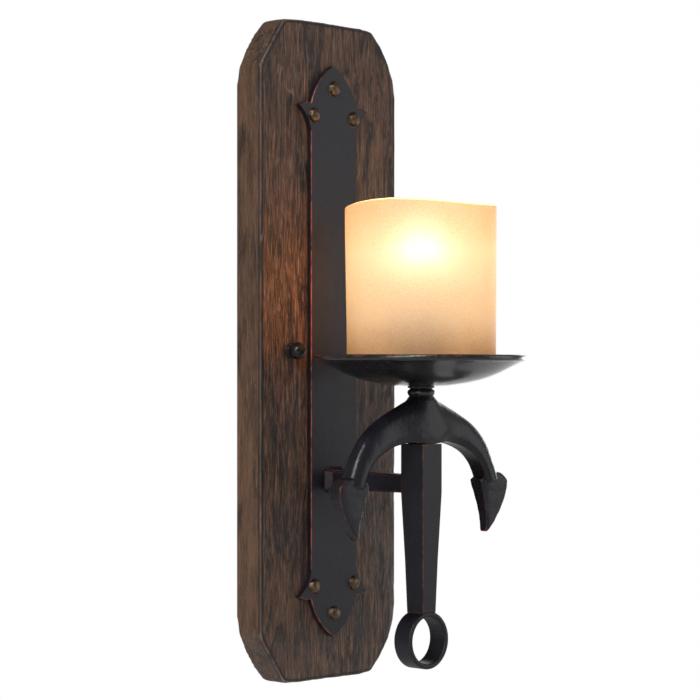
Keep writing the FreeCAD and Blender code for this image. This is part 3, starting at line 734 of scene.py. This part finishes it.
stack = (0, AXIS_Y, 0)
dish_outline = [(6, -22.2), (22, -21.2), (37.1, -18.5), (50, -14.2), (60, -9.2), (65.6, -5.8), (67.4, -4.1),
                (68.8, -3.1), (70.2, -3.3), (70.9, -4.4), (70.8, -6.0), (69.8, -7.1), (67.6, -7.8),
                (62.6, -10.1), (50, -16.2), (37.1, -20.5), (21.8, -23.2), (9.5, -24.1), (6, -24.2)]
lathe("dish", dish_outline, stack, dish_iron, segments=220, per_span=4, shape=uneven(0.28, 8),
      slot="dark_iron", replaces=("drip_dish",))

bead_outline = [(5.1, -24.2), (8.9, -24.2), (9.2, -24.6), (8.9, -25.1), (7.8, -25.5), (7.8, -25.9),
                (8.7, -26.5), (9.3, -27.5), (9.3, -28.6), (8.8, -29.7), (8.3, -30.2), (8.6, -30.7),
                (5.1, -30.7)]
lathe("bead", bead_outline, stack, dish_iron, segments=96, per_span=5, shape=uneven(0.06, 9),
      slot="dark_iron", replaces=("neck_bead",))


# Height of the glass's top edge in mm by angle in degrees.
RIM_HEIGHTS = {20: 96.0, 70: 95.2, 110: 94.2, 135: 94.6, 148: 95.8, 162: 96.9, 181: 98.1,
               199: 98.7, 221: 97.8, 237: 96.9, 253: 95.9, 273: 95.5, 297: 96.3, 330: 97.0}


def wavy_rim(angle, radius, height):
    """Hand-cut top edge, given by RIM_HEIGHTS, and a slightly rippled wall that leans out on one side."""
    rim = float(np.interp(math.degrees(angle), list(RIM_HEIGHTS), list(RIM_HEIGHTS.values()), period=360))
    ripple = 0.22 * wobble(1.6 * math.cos(angle), 1.6 * math.sin(angle), height * 0.03, 11)
    lean = 0.9 * smooth_step(-10, 95, height) * max(0.0, math.cos(angle - math.radians(135)))
    return radius + ripple + lean, height + smooth_step(30, shade_high.z, height) * (rim - shade_high.z)


wall_top = shade_high.z
wall_outside = [(20.7, -13.5), (44, -13.5), (47.6, -13.0), (49.3, -11.0), (49.7, -8), (49.9, 20), (50.1, 60),
                (50.2, wall_top - 4), (50.0, wall_top - 1.2), (49.0, wall_top - 0.1)]
wall_inside = [(47.6, wall_top), (46.5, wall_top - 1.0), (46.1, wall_top - 4), (46.0, 60), (45.9, 20),
               (45.6, -4), (44.6, -7.6), (42, -9.3), (20.7, -9.5)]
lathe("amber_cylinder", wall_outside + wall_inside, stack, amber, segments=240, per_span=6, shape=wavy_rim,
      body="lamp_shade", slot="amber_glass", replaces=("glass_shade",))

bulb_tip = bulb_high.z
bulb_outside = [(12.0, 14.2), (12.0, 25), (13.4, 32), (15.8, 41), (17.4, 51), (17.0, 60), (14.8, 70),
                (11.2, 79), (6.8, 86.5), (3.4, 90.6), (1.4, 92.4), (0.02, bulb_tip)]
bulb_inside = [(0.02, bulb_tip - 1), (2.6, 90.0), (6.2, 85.6), (10.4, 78.4), (14.0, 69.6), (16.1, 60),
               (16.5, 51), (14.9, 41), (12.5, 32), (11.1, 25), (11.1, 14.2)]
lathe("bulb_envelope", bulb_outside + bulb_inside, stack, lit_glass, segments=72, per_span=4,
      body="lamp_bulb", slot="clear_glass", replaces=("bulb_glass",))


# ---------------------------------------------------------------- nails and cap nuts

def hammered(seed):
    """Facets of a hand-hammered dome."""
    def shape(angle, radius, height):
        dent = wobble(0.42 * radius * math.cos(angle), 0.42 * radius * math.sin(angle), height * 0.3, seed)
        return radius * (1 + 0.05 * dent), height + 0.35 * dent
    return shape


def build_nails():
    high = box_mm("strap_nails")[1]
    dome_radius = 5.3
    side = high.x - dome_radius
    tip, barbs = high.z - dome_radius, high.z - 25
    spots = [(0, tip), (side, barbs), (-side, barbs)]
    spots += [(x, -z) for x, z in spots]
    dome = [(0.02, 3.5), (1.9, 3.25), (3.6, 2.4), (4.7, 1.2), (5.2, 0.3), (5.2, -0.05), (0.02, -0.05)]
    for number, (x, z) in enumerate(spots, start=1):
        lathe(f"nail_{number}", dome, (x, STRAP_FRONT, z), antique_brass, turn="Y", segments=48,
              shape=hammered(20 + number), slot="antique_brass", replaces=("strap_nails",))


def build_cap_nut(name, node, body):
    low, high = box_mm(node)
    middle = (low.x + high.x) / 2
    ball = (high.x - low.x) / 2
    top = high.y - low.y
    marks = [(0.02, top), (ball * 0.42, top - 0.6), (ball * 0.78, top - 2.3), (ball * 0.97, top - 4.6),
             (ball, top - 6.2), (ball * 0.93, top - 8.2), (ball * 0.76, top - 9.9), (3.9, top - 10.8),
             (3.8, top - 11.2), (4.6, 1.0), (4.7, 0.3), (4.6, 0.02), (2.15, 0.02), (2.15, 7.8), (0.02, 8.2)]
    lathe(name, marks, (middle, high.y, 0), black_steel, turn="Y", segments=96, per_span=5, body=body,
          slot="black_steel", replaces=(node,))


build_nails()
build_cap_nut("ball_nut_left", "cap_nut_left", "left_cap_nut")
build_cap_nut("ball_nut_right", "cap_nut_right", "right_cap_nut")


# ---------------------------------------------------------------- CAD nodes that keep their shape

kept = {
    "strap": strap_iron, "arm_collar": iron, "arm_bar": iron, "anchor_shank": iron, "ring_eye": iron,
    "arm_pipe": zinc_steel, "arm_washer": zinc_steel, "arm_nut": zinc_steel, "dish_nut": bare_brass,
    "centre_tube": bare_brass, "socket_cap": black_steel, "socket_core": porcelain,
    "socket_shell": bare_brass, "socket_contact": bare_brass, "socket_skirt": black_plastic,
    "shade_ring": black_plastic,
    "bulb_base": bare_brass, "bulb_insulator": insulator, "bulb_contact": zinc_steel, "bulb_stem": porcelain,
    "bulb_filaments": filament_glow, "wall_plate": zinc_steel, "mounting_studs": zinc_steel,
    "stud_nuts": zinc_steel, "ground_screw": green_steel,
}
for node, material in kept.items():
    nodes[node].data.materials.clear()
    nodes[node].data.materials.append(material)


# ---------------------------------------------------------------- stage, light and camera

def build_stage():
    """Pale floor well below the lamp. To the camera it is as bright as the world, so no horizon shows."""
    floor_z, reach = -0.40, 30.0
    work = bmesh.new()
    outline = ((-reach, -reach), (reach, -reach), (reach, reach), (-reach, reach))
    work.faces.new([work.verts.new((x, y, floor_z)) for x, y in outline])
    mesh = finished(work, "floor")
    material = bpy.data.materials.new("pale_floor")
    material.use_nodes = True
    tree = material.node_tree
    tree.nodes.clear()
    ray = add(tree, "ShaderNodeLightPath")
    matt = add(tree, "ShaderNodeBsdfDiffuse", Color=[(0.80, 0.80, 0.80, 1)])
    bright = add(tree, "ShaderNodeEmission", Color=[(1, 1, 1, 1)])
    mixed = add(tree, "ShaderNodeMixShader")
    tree.links.new(ray.outputs["Is Camera Ray"], mixed.inputs[0])
    tree.links.new(matt.outputs[0], mixed.inputs[1])
    tree.links.new(bright.outputs[0], mixed.inputs[2])
    tree.links.new(mixed.outputs[0], add(tree, "ShaderNodeOutputMaterial").inputs["Surface"])
    mesh.materials.append(material)
    floor = bpy.data.objects.new("floor", mesh)
    bpy.context.scene.collection.objects.link(floor)


def area_light(name, place, target, size, power, colour=(1, 1, 1), size_y=None):
    light = bpy.data.lights.new(name, "AREA")
    light.energy = power
    light.color = colour
    light.size = size
    if size_y:
        light.shape = "RECTANGLE"
        light.size_y = size_y
    lamp = bpy.data.objects.new(name, light)
    lamp.location = place
    lamp.rotation_euler = (Vector(target) - Vector(place)).to_track_quat("-Z", "Y").to_euler()
    lamp.visible_camera = False
    bpy.context.scene.collection.objects.link(lamp)
    return lamp


def build_lights():
    world = bpy.data.worlds.new("studio")
    world.use_nodes = True
    tree = world.node_tree
    background = tree.nodes["Background"]
    ray = add(tree, "ShaderNodeLightPath")
    level = ramp_between(tree, ray.outputs["Is Camera Ray"], 0.0, 1.0)
    level.node.inputs["To Min"].default_value = 0.20
    tree.links.new(level, background.inputs["Strength"])
    background.inputs["Color"].default_value = (1.0, 1.0, 1.0, 1)
    bpy.context.scene.world = world
    area_light("right_softbox", (1.35, -1.30, 0.10), (0, -0.06, 0), 1.1, 6.0, size_y=1.9)
    area_light("left_softbox", (-1.75, -0.75, 0.55), (0, -0.05, 0), 0.9, 10.0, (1.0, 0.97, 0.93), size_y=1.2)
    area_light("front_light", (-1.25, -1.05, 1.25), (0, -0.08, 0), 0.45, 12.0)
    area_light("back_wall", (1.5, 1.2, -0.1), (0, -0.1, 0), 2.6, 24.0)
    area_light("low_right_card", (1.55, 0.28, -0.12), (0, -0.1, -0.02), 0.9, 3.2, size_y=0.45)
    # What the lit glass throws on the board, left of the strap.
    glow = area_light("glow_on_board", (-0.020, -0.058, 0.030), (-0.05, 0, 0.030), 0.05, 0.034,
                      (1.0, 0.34, 0.03), size_y=0.09)
    glow.data.specular_factor = 0
    glow.visible_glossy = False


def build_camera():
    camera = bpy.data.cameras.new("camera")
    camera.sensor_width = 36
    camera.lens = 118.0
    camera.shift_y = 0.0314
    camera.clip_start = 0.01
    viewer = bpy.data.objects.new("camera", camera)
    viewer.location = (-1.1229, -1.1556, -0.0145)
    viewer.rotation_euler = (math.radians(90), 0, math.radians(-45.26))
    bpy.context.scene.collection.objects.link(viewer)
    bpy.context.scene.camera = viewer


build_stage()
build_lights()
build_camera()
bpy.context.scene.view_settings.view_transform = "Standard"
